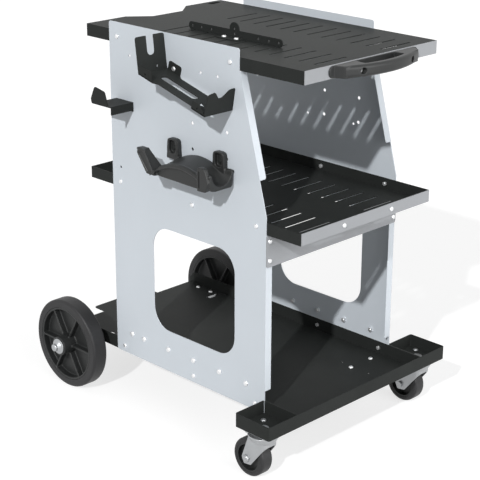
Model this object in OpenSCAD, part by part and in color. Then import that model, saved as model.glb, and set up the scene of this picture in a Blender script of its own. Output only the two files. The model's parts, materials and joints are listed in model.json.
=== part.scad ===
// Welding cart: two sheet steel side panels that carry a top shelf, a middle tray and a bottom tray,
// on two large rear wheels and two front castors, with cable and torch holders on the left panel.
// X runs across the cart, the front with the bow handle faces -Y, and the floor is at Z = 0.

/* [Side panels] */
// Width over the two side panels
frame_w = 384; // [360:1:420]
// Sheet thickness of the panels and trays
sheet_t = 1.5; // [1.2:0.1:2.5]
// Height of a side panel
panel_h = 718; // [690:1:760]
// Depth of a side panel at its foot
panel_d = 443; // [430:1:470]
// Depth by which the front edge slopes back toward the top
slope_d = 73; // [55:1:90]
// Distance of the panels' rear edge behind the middle of the cart
panel_rear_y = 181.5; // [170:0.5:190]
// Height at which the front edge starts to slope, above the panel's foot
slope_h = 408; // [405:1:440]
// Width of the turned-in front flanges
flange_w = 17; // [14:0.5:22]
// Corner radius of the panels
panel_corner_r = 5; // [2:0.5:10]
// Depth of the window in a side panel
window_d = 237; // [200:1:250]
// Height of the window in a side panel
window_h = 224.5; // [190:0.5:235]
// Height of the window above the panel's foot
window_low = 91; // [80:1:110]
// Distance of the window from the panel's rear edge
window_rear = 122.5; // [110:0.5:135]
// Corner radius of the window
window_r = 46; // [20:1:60]

/* [Holes in the side panels] */
// Diameter of the screws in the tray walls
wall_screw_d = 5; // [4:0.5:6]
// Diameter of the screws in the long row near the foot
row_screw_d = 6; // [5:0.5:8]
// Pitch of the long row
row_pitch = 76; // [70:1:80]
// Height of the long row above the panel's foot
row_h = 49; // [40:1:60]
// Distance of the row's first screw from the panel's rear edge
row_rear = 88; // [80:1:95]
// Diameter of the open accessory holes
open_hole_d = 7; // [5:0.5:9]
// Spacing of the accessory rectangle along the cart
accessory_d = 95; // [80:1:110]
// Spacing of the accessory rectangle in height
accessory_h = 52; // [40:1:60]
// Diameter of the small spare holes
spare_hole_d = 5.5; // [4:0.5:6]

/* [Top shelf and middle tray] */
// Depth of the shelf and the middle tray, with their fascias
shelf_d = 603; // [580:1:620]
// Distance of the trays' front face ahead of the middle of the cart
shelf_front_y = 349; // [340:1:360]
// Height of the top shelf's folded walls
shelf_h = 25.5; // [20:0.5:32]
// Depth of the top shelf's deck below the panels' upper edge
shelf_drop = 16.5; // [10:0.5:25]
// Height of the middle tray
middle_h = 24; // [18:0.5:30]
// Height of the middle tray's underside above the panels' foot
middle_z = 373; // [360:1:385]
// Length of a drain slot
slot_l = 88; // [60:1:100]
// Width of a drain slot
slot_w = 5; // [3:0.5:8]
// Pitch of the drain slots
slot_pitch = 37.4; // [30:0.1:40]
// Rows of drain slots
slot_rows = 12; // [6:1:12]
// Distance of the slots' middle from the middle of the cart
slot_x = 93; // [80:1:105]
// Distance of the top shelf's first slot from the front face
top_slot_start = 25; // [15:1:35]
// Distance of the middle tray's first slot from the front face
middle_slot_start = 16.5; // [15:0.5:30]
// Width of the bottle recess at the rear edge
recess_w = 172; // [150:1:190]
// Width of the bottle recess at its bottom
recess_floor_w = 84; // [70:1:110]
// Depth of the bottle recess
recess_d = 37; // [25:1:45]

/* [Bottom tray] */
// Height of the bottom tray
base_h = 28.5; // [24:0.5:34]
// Reach of an ear beyond the side panel
ear_w = 78; // [76:1:84]
// Depth of an ear
ear_d = 91; // [85:1:100]
// Distance of the tray's rear edge behind the middle of the cart
base_rear_y = 359; // [345:1:370]
// Width of the bottle tongue
tongue_w = 164; // [140:1:180]
// Length of the bottle tongue behind the tray
tongue_l = 37.5; // [25:0.5:45]

/* [Rear wheels] */
// Diameter of a rear tyre
wheel_d = 200; // [190:1:210]
// Width of a rear tyre
wheel_w = 36; // [30:1:42]
// Distance of the hub's outer end inside the ears' outer edges
hub_end_inset = 3; // [0:0.5:8]
// Distance of the rear axle behind the middle of the cart
axle_y = 294; // [280:1:305]
// Diameter of the rear axle
axle_d = 15; // [12:0.5:16]
// Diameter of the recess in a rim
rim_recess_d = 156; // [140:1:162]
// Length of the hub beyond the face of the tyre
hub_out = 19; // [12:1:22]
// Ribs on each side of a rim
rib_count = 6; // [4:1:8]

/* [Castors] */
// Diameter of a castor tyre
castor_d = 80; // [75:1:84]
// Width of a castor tyre
castor_w = 30; // [24:1:32]
// Distance of a castor's swivel axis inside its ear's outer edge
castor_inset = 33; // [32:0.5:35]
// Trail of a castor wheel behind its swivel axis
castor_trail = 28; // [22:1:30]
// Diameter of a castor's axle bolt
castor_bolt_d = 8; // [6:0.5:10]
// Side of the castor's top plate
castor_plate = 60; // [56:1:62]
// Spacing of the castor's fixing bolts
castor_hole_pitch = 44; // [40:1:46]

/* [Bow handle] */
// Width of the bow handle's grip
grip_w = 210; // [190:1:220]
// Height of the bow handle
grip_h = 23; // [18:1:25]
// Thickness of the grip
grip_t = 18; // [14:1:20]
// Reach of the bow handle in front of the fascia
grip_reach = 47; // [42:1:55]
// Rise of the grip's arc over its width
grip_sag = 25; // [15:1:30]
// Spacing of the handle's two screws
handle_pitch = 140; // [120:1:150]

/* [Torch holder] */
// Width of the torch holder's fork plate
fork_w = 73; // [60:1:80]
// Height of the fork plate
fork_h = 71; // [60:1:80]
// Width of the slot in the fork plate
fork_slot_w = 19; // [14:1:24]
// Depth of the slot in the fork plate
fork_slot_h = 38; // [30:1:45]
// Length of the sloping arm
arm_l = 198; // [180:1:205]
// Slope of the arm
arm_slope = 14.2; // [10:0.1:18]
// Height of the V plate at the arm's foot
vee_h = 42; // [34:1:50]
// Height of the arm above the fork plate's lower edge
arm_rise = 18; // [14:1:24]
// Lean of the fork plate toward the rear
fork_lean = 5.5; // [0:0.5:8]

/* [Cable hook and hanger] */
// Reach of the cable hook
hook_reach = 60; // [45:1:70]
// Width of the cable hook
hook_w = 52; // [40:1:60]
// Height of the hook's upturned tab
hook_tab_h = 34; // [24:1:40]
// Reach of the cable hanger
hanger_reach = 72; // [60:1:76]
// Distance between the hanger's two fixing holes
hanger_pitch = 128.5; // [110:0.5:140]
// Height of the hanger's fixing lugs
lug_h = 66; // [55:1:75]
// Width of a fixing lug
lug_w = 34; // [28:1:40]

/* [Fixing strip] */
// Length of the fixing strip on the top shelf
strip_l = 258; // [220:1:280]
// Height of the fixing strip
strip_h = 16; // [12:1:22]
// Height of the strip's raised tab
strip_tab_h = 31; // [26:1:40]
// Distance of the strip from the middle of the cart
strip_x = 77.5; // [60:0.5:90]

/* [Hidden] */

// Facets of a full turn
round_fn = 48;
// Facets of a small hole or screw
small_fn = 24;
// Facets of a large wheel
wheel_fn = 96;
// Overrun of every cut past the face that it leaves
cut = 1;
// Gap between sheets that lie side by side
fit_gap = 0.2;
// Radial clearance of a turning fit
run_gap = 0.06;
// Clearance beside a turning part
side_gap = 0.4;

// Heights that follow from the wheels: the rear axle lies close under the bottom tray
axle_z = wheel_d/2;
axle_under = 0.5;
foot_z = axle_z + axle_d/2 + axle_under;
panel_top_z = foot_z + panel_h;
deck_z = panel_top_z - shelf_drop;
shelf_z = deck_z - shelf_h;
tray_z = foot_z + middle_z;
base_rim_z = foot_z + base_h;

// Places across the cart
panel_x = frame_w/2;
panel_in_x = panel_x - sheet_t;
tray_w = frame_w - 2*sheet_t - 2*fit_gap;
base_w = frame_w + 2*ear_w;
castor_x = base_w/2 - castor_inset;
fascia_t = 1.5;
fascia_inset = 3;
fascia_w = frame_w - 2*fascia_inset;

// Places along the cart
front_y = -shelf_front_y;
shelf_rear_y = front_y + shelf_d;
panel_low_y = panel_rear_y - panel_d;
panel_top_d = panel_d - slope_d;
panel_high_y = panel_rear_y - panel_top_d;
slope_z = foot_z + slope_h;
ear_y = front_y + ear_d;
swivel_y = front_y + ear_d/2;
castor_z = castor_d/2;

// Window and holes of a side panel, as places in depth and height
window_y = panel_rear_y - window_rear - window_d/2;
window_z = foot_z + window_low + window_h/2;
row_y = panel_rear_y - row_rear;
row_z = foot_z + row_h;
wall_screw_shares = [0.056, 0.542, 0.941];
shelf_screw_shares = [0.065, 0.405, 0.935];
wall_screw_ys = [for (share = wall_screw_shares) panel_rear_y - share*panel_d];
shelf_screw_ys = [for (share = shelf_screw_shares) panel_rear_y - share*panel_top_d];
accessory_y_share = 0.6546;
accessory_drop_share = 0.2674;
accessory_y = panel_rear_y - accessory_y_share*panel_d;
accessory_z = panel_top_z - accessory_drop_share*panel_h;
spare_hole_shares = [[0.6005, 0.087], [0.7043, 0.087], [0.1377, 0.087], [0.0587, 0.4192]];
spare_holes = [for (share = spare_hole_shares)
    [panel_rear_y - share[0]*panel_d, panel_top_z - share[1]*panel_h]];

// Flanges of a side panel
flange_gap = 20;
flange_share = 0.74;
flange_corner_r = 4;
crossbar_h = 65.5;
crossbar_t = 2;
crossbar_inset = 8;
crossbar_hole_shares = [0.2, 0.8];
crossbar_z = tray_z - crossbar_h - fit_gap;
crossbar_hole_zs = [for (share = crossbar_hole_shares) crossbar_z + share*crossbar_h];

// Screw heads, shared by all pan-head screws
head_h_share = 0.55;
head_d_share = 2;
nut_h_share = 0.7;
nut_r_share = 0.9;
tail_share = 0.15;

// Hub, rim and tyre of a rear wheel
tyre_t = 17;
tyre_shoulder = 5;
rim_wall = 4;
web_t = 5;
rib_t = 4;
rib_inset = 1.5;
hub_r = 21;
bore_r = axle_d/2 + run_gap;
hub_clear = 3;
wheel_in_x = base_w/2 - hub_end_inset - hub_out - wheel_w;
wheel_mid_x = wheel_in_x + wheel_w/2;
hub_end_x = wheel_in_x + wheel_w + hub_out;
hub_start_x = panel_x + hub_clear;
cap_flange_r = 17.5;
cap_flange_t = 2;
cap_nose_r = 10.5;
cap_nose_l = 9;
cap_dome_r = 4;
cap_fillet_r = 2;
cap_bore_l = 5;
bearer_w = 34;
bearer_x = panel_x - bearer_w;
bearer_t = 3;
bearer_l = 60;
bearer_hole_share = 0.36;
spacer_r = 13;

// Castor
race_r = 22;
race_h = 6;
plate_t = 2.5;
fork_t = 2.5;
fork_top_z = foot_z - plate_t - race_h - side_gap;
fork_clear = 2;
fork_inner_w = castor_w + 2*fork_clear;
fork_outer_w = fork_inner_w + 2*fork_t;
fork_bend_r = 13;
fork_foot_r = 13;
fork_front = 20;
fork_crown_r = 23;
fork_front_h = 20;
fork_rear_h = 8;
fork_side_r = 4;
king_pin_r = 6;
king_head_r = 10;
king_head_h = 2.5;
castor_tyre_t = 9;
castor_shoulder = 5.5;
castor_hub_r = 11;
castor_web_t = 8;
castor_hub_w = fork_inner_w - 2*side_gap;
castor_bolt_r = castor_bolt_d/2;
castor_screw_d = 6;

// Torch holder
holder_t = 2;
fork_y_share = 0.3815;
fork_y = panel_rear_y - fork_y_share*panel_d;
fork_z = panel_top_z - fork_h;
fork_corner_r = 6;
fork_hole_in = 14;
fork_hole_up = 9;
arm_y = fork_y + holder_t + arm_rise*tan(fork_lean);
arm_z = fork_z + arm_rise;
arm_end_l = 34;
arm_waist = 7;
arm_slot_w = 20;
arm_slot_l = 104;
arm_corner_r = 3;
gusset_l = 35;
gusset_cut = 9;
vee_drop = 18.5;
tab_l = 31;
tab_h = 32;
tab_corner_r = 6;
tab_setback = 3;
holder_hole_d = 5;

// Cable hook
hook_y_share = 0.0406;
hook_drop_share = 0.2173;
hook_y = panel_rear_y - hook_y_share*panel_d;
hook_z = panel_top_z - hook_drop_share*panel_h;
hook_flange_h = 17;
hook_corner_r = 5;

// Cable hanger
hanger_y_share = 0.4424;
hanger_rise_share = 0.6267;
hanger_y = panel_rear_y - hanger_y_share*panel_d;
hanger_low_z = foot_z + hanger_rise_share*panel_h;
hanger_t = 4;
lug_hole_drop = 21.5;

// Signs of the two sides of the cart
LEFT = -1;
RIGHT = 1;

PANEL = [0.80, 0.82, 0.84];
FASCIA = [0.62, 0.63, 0.65];
DARK = [0.24, 0.25, 0.25];
PLASTIC = [0.16, 0.17, 0.17];
RUBBER = [0.13, 0.13, 0.13];
ZINC = [0.72, 0.73, 0.74];

// Arc of radius r round c, from angle a0 to a1, as n + 1 points
function arc(c, r, a0, a1, n) = [for (i = [0:n]) c + r*[cos(a0 + (a1 - a0)*i/n), sin(a0 + (a1 - a0)*i/n)]];

// Turn from one angle to another the short way round
function short_turn(d) = d > 180 ? d - 360 : (d < -180 ? d + 360 : d);

// Corner b between a and c, rounded with radius r
function fillet(a, b, c, r, n) =
    let (u = (a - b)/norm(a - b), v = (c - b)/norm(c - b), half = acos(u*v)/2)
    let (m = b + (u + v)/norm(u + v)*r/sin(half), s = b + u*r/tan(half), e = b + v*r/tan(half))
    let (a0 = atan2(s[1] - m[1], s[0] - m[0]), a1 = atan2(e[1] - m[1], e[0] - m[0]))
    arc(m, r, a0, a0 + short_turn(a1 - a0), n);

// Outline through the points p, with radius r[i] at point i and none where r[i] is zero
function rounded(p, r, n = 6) =
    [for (i = [0:len(p) - 1])
        each (r[i] == 0 ? [p[i]] : fillet(p[(i + len(p) - 1) % len(p)], p[i], p[(i + 1) % len(p)], r[i], n))];

// Sheet of thickness t in the plane across the cart's side, drawn as depth and height
module side_sheet(x, t) {
    translate([x, 0, 0]) rotate([90, 0, 90]) linear_extrude(t) children();
}

// Sheet of thickness t across the cart's front, drawn as width and height, with its front face at y
module front_sheet(y, t) {
    translate([0, y + t, 0]) rotate([90, 0, 0]) linear_extrude(t) children();
}

// Round bar along X
module x_bar(x, y, z, r, l, fn = small_fn) {
    translate([x, y, z]) rotate([0, 90, 0]) cylinder(h = l, r = r, $fn = fn);
}

// Round bar along Y
module y_bar(x, y, z, r, l, fn = small_fn) {
    translate([x, y + l, z]) rotate([90, 0, 0]) cylinder(h = l, r = r, $fn = fn);
}

// Rectangle with round corners, centred
module round_rect(w, h, r) {
    square([w - 2*r, h], center = true);
    square([w, h - 2*r], center = true);
    for (x = [-1, 1], y = [-1, 1])
        translate([x*(w/2 - r), y*(h/2 - r)]) circle(r, $fn = round_fn);
}

// Pan head of a screw of diameter d, with its seat at the origin and its top toward +Z
module pan_head(d) {
    head_r = d*head_d_share/2;
    head_h = d*head_h_share;
    rotate_extrude($fn = small_fn)
        polygon(concat([[0, 0], [head_r, 0]], arc([head_r - head_h, 0], head_h, 0, 90, 5), [[0, head_h]]));
}

// Screw of diameter d with its head at the origin, pointing toward -Z, and a nut at the end of its grip
module screw(d, grip) {
    nut_h = d*nut_h_share;
    tail = grip + nut_h + d*tail_share;
    pan_head(d);
    translate([0, 0, -tail]) cylinder(h = tail, r = d/2, $fn = small_fn);
    translate([0, 0, -grip - nut_h]) cylinder(h = nut_h, r = d*nut_r_share, $fn = 6);
}

// Screw through a side of the cart, with its head on the outer face at x
module side_screw(side, x, y, z, d, grip) {
    translate([side*x, y, z]) rotate([0, side*90, 0]) screw(d, grip);
}

// Places of the screws in the long row, with the extra one half a pitch behind the first
row_steps = 4;
row_ys = concat([row_y + row_pitch/2], [for (i = [0:row_steps]) row_y - i*row_pitch]);
accessory_points = [for (i = [-1, 1], j = [-1, 1])
    [accessory_y + i*accessory_d/2, accessory_z + j*accessory_h/2]];
base_screw_z = foot_z + base_h/2;
middle_screw_z = tray_z + middle_h/2;
shelf_screw_z = shelf_z + shelf_h/2;
hanger_hole_ys = [hanger_y, hanger_y - hanger_pitch];
hanger_hole_z = hanger_low_z + lug_h - lug_hole_drop;
tab_rear_y = arm_y - tab_setback;
arm_tab_y = tab_rear_y - tab_l/2;
arm_tab_z = arm_z - (arm_y - arm_tab_y)*tan(arm_slope) - tab_h/2 + holder_t;
hook_hole_y = hook_y - hook_w/2;
hook_hole_z = hook_z - hook_flange_h/2 - holder_t/2;

module panel_outline() {
    points = [
        [panel_rear_y, foot_z], [panel_rear_y, panel_top_z], [panel_high_y, panel_top_z],
        [panel_high_y, shelf_z], [panel_low_y, slope_z], [panel_low_y, foot_z]
    ];
    polygon(rounded(points, [panel_corner_r, panel_corner_r, panel_corner_r, 0, 0, panel_corner_r]));
}

// Flange along a straight stretch of the front edge, from a to b in depth and height
module flange(a, b) {
    run = norm(b - a);
    turn = atan2(b[1] - a[1], b[0] - a[0]);
    r = flange_corner_r;
    translate([0, a[0], a[1]]) rotate([turn, 0, 0]) linear_extrude(sheet_t)
        polygon(rounded([[0, 0], [flange_w, 0], [flange_w, run], [0, run]], [0, r, r, 0]));
}

// Side panel with its outer face at X = 0 and its inside toward +X
module side_panel() {
    slope_top = [panel_high_y, shelf_z - sheet_t];
    slope_end = slope_top + flange_share*([panel_low_y, slope_z] - [panel_high_y, shelf_z]);
    color(PANEL) difference() {
        union() {
            side_sheet(0, sheet_t) panel_outline();
            flange(slope_end, slope_top);
            translate([0, panel_low_y, base_rim_z + flange_gap])
                cube([flange_w, sheet_t, tray_z - fit_gap - base_rim_z - flange_gap]);
        }
        translate([-cut, window_y, window_z]) rotate([90, 0, 90])
            linear_extrude(sheet_t + 2*cut) round_rect(window_d, window_h, window_r);
        for (y = wall_screw_ys, z = [base_screw_z, middle_screw_z])
            x_bar(-cut, y, z, wall_screw_d/2 + fit_gap, sheet_t + 2*cut);
        for (y = shelf_screw_ys)
            x_bar(-cut, y, shelf_screw_z, wall_screw_d/2 + fit_gap, sheet_t + 2*cut);
        for (y = row_ys)
            x_bar(-cut, y, row_z, row_screw_d/2 + fit_gap, sheet_t + 2*cut);
        for (p = accessory_points)
            x_bar(-cut, p[0], p[1], open_hole_d/2, sheet_t + 2*cut);
        for (p = spare_holes)
            x_bar(-cut, p[0], p[1], spare_hole_d/2, sheet_t + 2*cut);
        for (z = crossbar_hole_zs)
            y_bar(crossbar_inset, panel_low_y - cut, z, wall_screw_d/2 + fit_gap, sheet_t + 2*cut);
        for (y = hanger_hole_ys)
            x_bar(-cut, y, hanger_hole_z, holder_hole_d/2 + fit_gap, sheet_t + 2*cut);
        x_bar(-cut, arm_tab_y, arm_tab_z, holder_hole_d/2 + fit_gap, sheet_t + 2*cut);
        x_bar(-cut, hook_hole_y, hook_hole_z, holder_hole_d/2 + fit_gap, sheet_t + 2*cut);
    }
}

module left_side_panel() {
    translate([-panel_x, 0, 0]) side_panel();
}

module right_side_panel() {
    mirror([1, 0, 0]) left_side_panel();
}

// Outline of a shelf in plan, with the bottle recess in its rear edge, drawn in by inset all round
module shelf_plan(inset) {
    w = tray_w/2 - inset;
    f = front_y + fascia_t + inset;
    r = shelf_rear_y - inset;
    outer = recess_w/2 + inset;
    inner = recess_floor_w/2 + inset;
    polygon([
        [-w, f], [w, f], [w, r], [outer, r], [inner, r - recess_d], [-inner, r - recess_d],
        [-outer, r], [-w, r]
    ]);
}

// Two columns of drain slots
module drain_slots(start, z) {
    for (side = [-1, 1], i = [0:slot_rows - 1])
        translate([side*slot_x, front_y + start + i*slot_pitch, z - cut])
            linear_extrude(sheet_t + 2*cut) round_rect(slot_l, slot_w, slot_w/2 - fit_gap);
}

// Pressed tray with its floor at the bottom
module pressing(h) {
    linear_extrude(sheet_t) shelf_plan(0);
    difference() {
        linear_extrude(h) shelf_plan(0);
        translate([0, 0, -cut]) linear_extrude(h + 2*cut) shelf_plan(sheet_t);
    }
}

module wall_holes(ys, z, d) {
    for (y = ys)
        x_bar(-frame_w/2, y, z, d/2 + fit_gap, frame_w);
}

// Oval hole near the right rear corner of the deck
deck_hole_share = 0.407;
deck_hole_inset = 17;
deck_hole_w = 30;
deck_hole_d = 14;

module top_shelf() {
    color(DARK) difference() {
        translate([0, 0, deck_z]) mirror([0, 0, 1]) pressing(shelf_h);
        drain_slots(top_slot_start, deck_z - sheet_t);
        wall_holes(shelf_screw_ys, shelf_screw_z, wall_screw_d);
        for (x = [-1, 1])
            y_bar(x*handle_pitch/2, front_y - cut, shelf_screw_z, wall_screw_d/2 + fit_gap, 2*recess_d);
        translate([deck_hole_share*tray_w, shelf_rear_y - deck_hole_inset, deck_z - sheet_t - cut])
            linear_extrude(sheet_t + 2*cut) round_rect(deck_hole_w, deck_hole_d, deck_hole_d/2 - fit_gap);
        for (y = strip_screw_ys)
            translate([-strip_x - strip_foot_w/2, y, deck_z - sheet_t - cut])
                cylinder(h = sheet_t + 2*cut, r = wall_screw_d/2 + fit_gap, $fn = small_fn);
    }
}

module middle_tray() {
    color(DARK) difference() {
        translate([0, 0, tray_z]) pressing(middle_h);
        drain_slots(middle_slot_start, tray_z);
        wall_holes(wall_screw_ys, middle_screw_z, wall_screw_d);
        for (x = [-1, 1])
            y_bar(x*handle_pitch/2, front_y - cut, middle_screw_z, wall_screw_d/2 + fit_gap, 2*recess_d);
    }
}

// Grey plate on the front of a shelf, of height h from z
module fascia(z, h) {
    color(FASCIA) difference() {
        front_sheet(front_y, fascia_t - fit_gap)
            translate([-fascia_w/2, z]) square([fascia_w, h]);
        for (x = [-1, 1])
            y_bar(x*handle_pitch/2, front_y - cut, z + h/2, wall_screw_d/2 + fit_gap, fascia_t + 2*cut);
    }
}

module top_fascia() {
    fascia(shelf_z, shelf_h);
}

module middle_fascia() {
    fascia(tray_z, middle_h);
}

module front_crossbar() {
    color(FASCIA) difference() {
        front_sheet(panel_low_y - fit_gap - crossbar_t, crossbar_t)
            translate([0, crossbar_z + crossbar_h/2]) round_rect(frame_w, crossbar_h, panel_corner_r);
        for (side = [-1, 1], z = crossbar_hole_zs)
            y_bar(side*(panel_x - crossbar_inset), panel_low_y - crossbar_t - cut, z,
                wall_screw_d/2 + fit_gap, crossbar_t + 2*cut);
    }
}

// Floor of the bottom tray in plan, with its two ears and the bottle tongue
module base_plan() {
    w = tray_w/2;
    e = base_w/2;
    t = tongue_w/2;
    rear = base_rear_y + tongue_l;
    points = [
        [-e, front_y], [e, front_y], [e, ear_y], [w, ear_y], [w, base_rear_y], [t, base_rear_y],
        [t, rear], [-t, rear], [-t, base_rear_y], [-w, base_rear_y], [-w, ear_y], [-e, ear_y]
    ];
    r = ear_corner_r;
    polygon(rounded(points, [r, r, r, 0, 0, 0, tongue_r, tongue_r, 0, 0, 0, r]));
}

ear_corner_r = 4;
tongue_r = 8;
base_slot_x_share = 0.425;
base_slot_w_share = 0.089;
base_slot_x = base_slot_x_share*tray_w;
base_slot_w = base_slot_w_share*tray_w;
base_slot_d = 12.5;
base_slot_ahead = 42.5;
base_slot_y = axle_y - base_slot_ahead;
floor_hole_d = 4;
floor_hole_shares = [[0.252, 0.09], [0.26, 0.195]];
floor_screw_shares = [[0.239, 0.151], [0.406, 0.151]];
floor_screw_d = 5;
wall_chamfer = 14;

function floor_points(shares) =
    [for (share = shares) [share[0]*tray_w, front_y + share[1]*(base_rear_y - front_y)]];

// Wall of the bottom tray along one side, with its rear end cut at a slope
module base_side_wall() {
    side_sheet(0, sheet_t) polygon([
        [front_y, foot_z], [base_rear_y, foot_z], [base_rear_y, foot_z + base_h/2 - sheet_t],
        [base_rear_y - wall_chamfer, base_rim_z], [front_y, base_rim_z]
    ]);
}

module bottom_tray() {
    w = tray_w/2;
    e = base_w/2;
    color(DARK) difference() {
        union() {
            translate([0, 0, foot_z]) linear_extrude(sheet_t) base_plan();
            translate([w - sheet_t, 0, 0]) base_side_wall();
            translate([-w, 0, 0]) base_side_wall();
            intersection() {
                translate([0, 0, foot_z]) linear_extrude(base_h) base_plan();
                union() {
                    translate([-e, front_y, foot_z]) cube([2*e, sheet_t, base_h]);
                    for (side = [-1, 1]) {
                        translate([side*(e + w)/2, front_y + ear_d/2, foot_z]) difference() {
                            translate([-(e - w)/2, -ear_d/2, 0]) cube([e - w, ear_d, base_h]);
                            translate([0, 0, -cut]) linear_extrude(base_h + 2*cut)
                                round_rect(e - w - 2*sheet_t, ear_d - 2*sheet_t, ear_corner_r - sheet_t);
                        }
                    }
                }
            }
        }
        wall_holes(wall_screw_ys, base_screw_z, wall_screw_d);
        for (side = [-1, 1])
            translate([side*(panel_in_x + panel_x)/2, panel_low_y + panel_d/2, foot_z + base_h/2])
                cube([sheet_t + 2*fit_gap, panel_d + 2*fit_gap, base_h + 2*cut], center = true);
        for (side = [-1, 1])
            translate([side*base_slot_x, base_slot_y, foot_z - cut])
                linear_extrude(sheet_t + 2*cut) round_rect(base_slot_w, base_slot_d, fork_t);
        for (p = concat(floor_points(floor_hole_shares), [[0, 0]]))
            translate([p[0], p[1], foot_z - cut])
                cylinder(h = sheet_t + 2*cut, r = floor_hole_d/2, $fn = small_fn);
        for (p = floor_points(floor_screw_shares))
            translate([p[0], p[1], foot_z - cut])
                cylinder(h = sheet_t + 2*cut, r = floor_screw_d/2 + fit_gap, $fn = small_fn);
        for (side = [-1, 1], p = castor_hole_points)
            translate([side*castor_x + p[0], swivel_y + p[1], foot_z - cut])
                cylinder(h = sheet_t + 2*cut, r = castor_screw_d/2 + fit_gap, $fn = small_fn);
        for (side = [-1, 1])
            translate([side*castor_x, swivel_y, foot_z - cut])
                cylinder(h = sheet_t + 2*cut, r = king_head_r + side_gap, $fn = round_fn);
        for (side = [-1, 1], p = bearer_hole_points)
            translate([side*p[0], p[1], foot_z - cut])
                cylinder(h = sheet_t + 2*cut, r = floor_screw_d/2 + fit_gap, $fn = small_fn);
    }
}

castor_hole_points = [for (i = [-1, 1], j = [-1, 1]) [i*castor_hole_pitch/2, j*castor_hole_pitch/2]];
bearer_hole_points = [for (j = [-1, 1]) [bearer_x + bearer_w/2, axle_y + j*bearer_l*bearer_hole_share]];

// Strip that stands on the top shelf, with a raised tab and a foot that is screwed to the deck
strip_t = 2;
strip_y = -60;
strip_tab_w = 26;
strip_foot_w = 22;
strip_foot_l = 56;
strip_hole_d = 5;
strip_hole_shares = [-0.46, -0.36, -0.25, 0.25, 0.36, 0.46];
strip_screw_share = 0.3;
strip_screw_ys = [for (side = [-1, 1]) strip_y + side*strip_screw_share*strip_foot_l];

module fixing_strip() {
    r = strip_h/2 - fit_gap;
    color(DARK) difference() {
        union() {
            side_sheet(-strip_x, strip_t) union() {
                translate([strip_y, deck_z + fit_gap/2 + strip_h/2]) round_rect(strip_l, strip_h, r);
                translate([strip_y - strip_tab_w/2, deck_z + fit_gap/2])
                    square([strip_tab_w, strip_tab_h - strip_tab_w/2]);
                translate([strip_y, deck_z + fit_gap/2 + strip_tab_h - strip_tab_w/2])
                    circle(strip_tab_w/2, $fn = round_fn);
            }
            translate([-strip_x - strip_foot_w, strip_y - strip_foot_l/2, deck_z + fit_gap/2])
                cube([strip_foot_w + strip_t, strip_foot_l, strip_t]);
        }
        for (s = strip_hole_shares)
            x_bar(-strip_x - cut, strip_y + s*strip_l, deck_z + strip_h/2, strip_hole_d/2, strip_t + 2*cut);
        for (z = [strip_h/2, strip_tab_h - strip_tab_w/2])
            x_bar(-strip_x - cut, strip_y, deck_z + z, strip_hole_d/2, strip_t + 2*cut);
        for (y = strip_screw_ys)
            translate([-strip_x - strip_foot_w/2, y, deck_z - cut])
                cylinder(h = strip_t + 2*cut, r = wall_screw_d/2 + fit_gap, $fn = small_fn);
    }
}

// Bow handle: an arched grip of rounded section on two legs, on a thin back plate that lies on the fascia
grip_r = (pow(grip_w/2, 2) + pow(grip_sag, 2))/(2*grip_sag);
grip_turn = asin(grip_w/2/grip_r);
grip_edge_r = 7;
grip_foot = 22;
grip_back_t = 3;
leg_w = 51;
leg_flare = 9;
leg_end_r = 7;
leg_in_r = 4;
leg_y = front_y - fit_gap;
grip_y = front_y - grip_reach;
grip_end_y = grip_y + grip_sag;
head_bore_r = 6;
head_bore_l = 10;
handle_head_y = grip_y + pow(handle_pitch/2, 2)/(2*grip_r) + head_bore_l;

module grip_leg() {
    outer = grip_w/2;
    inner = outer - leg_w;
    inner_y = grip_y + pow(inner, 2)/(2*grip_r) + grip_t/2;
    translate([0, 0, shelf_screw_z - grip_h/2]) linear_extrude(grip_h) polygon(rounded([
        [inner, leg_y], [outer + leg_flare, leg_y], [outer + leg_flare, leg_y - grip_back_t],
        [outer, grip_end_y], [inner + leg_in_r, inner_y]
    ], [0, 0, 0, leg_end_r, leg_in_r]));
}

module bow_handle() {
    color(PLASTIC) difference() {
        union() {
            translate([0, grip_y + grip_r, shelf_screw_z]) rotate([0, 0, -90 - grip_turn])
                rotate_extrude(angle = 2*grip_turn, $fn = 240)
                    translate([grip_r - grip_t/2, 0]) round_rect(grip_t, grip_h, grip_edge_r);
            grip_leg();
            mirror([1, 0, 0]) grip_leg();
            front_sheet(leg_y - grip_back_t, grip_back_t) translate([0, shelf_screw_z])
                round_rect(grip_w + 2*grip_foot, grip_h, grip_h/2 - fit_gap);
        }
        for (side = [-1, 1]) {
            y_bar(side*handle_pitch/2, grip_y - cut, shelf_screw_z,
                wall_screw_d/2 + fit_gap, grip_reach + 2*cut);
            y_bar(side*handle_pitch/2, grip_y - cut, shelf_screw_z, head_bore_r, handle_head_y - grip_y + cut);
        }
    }
}

// Torch holder: forked plate, sloping slotted arm and V plate, folded from one sheet
module fork_plate() {
    slot_low = fork_h - fork_slot_h + fork_slot_w/2;
    translate([-panel_x, fork_y + holder_t, fork_z]) rotate([90 - fork_lean, 0, 0]) linear_extrude(holder_t)
        difference() {
            polygon(rounded([
                [-fit_gap, 0], [-fit_gap, fork_h], [-fork_w, fork_h], [-fork_w, 0]
            ], [0, fork_corner_r, fork_corner_r, 0]));
            translate([-fork_w/2 - fork_slot_w/2, slot_low]) square([fork_slot_w, fork_slot_h]);
            translate([-fork_w/2, slot_low]) circle(fork_slot_w/2, $fn = round_fn);
            translate([-fork_hole_in, fork_hole_up]) circle(holder_hole_d/2, $fn = small_fn);
        }
}

// Flat pieces of the arm are drawn in its own frame: X across, Y down the arm, Z square to it
module arm_frame() {
    translate([-panel_x, arm_y, arm_z]) rotate([arm_slope, 0, 0]) mirror([0, 1, 0]) children();
}

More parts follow.
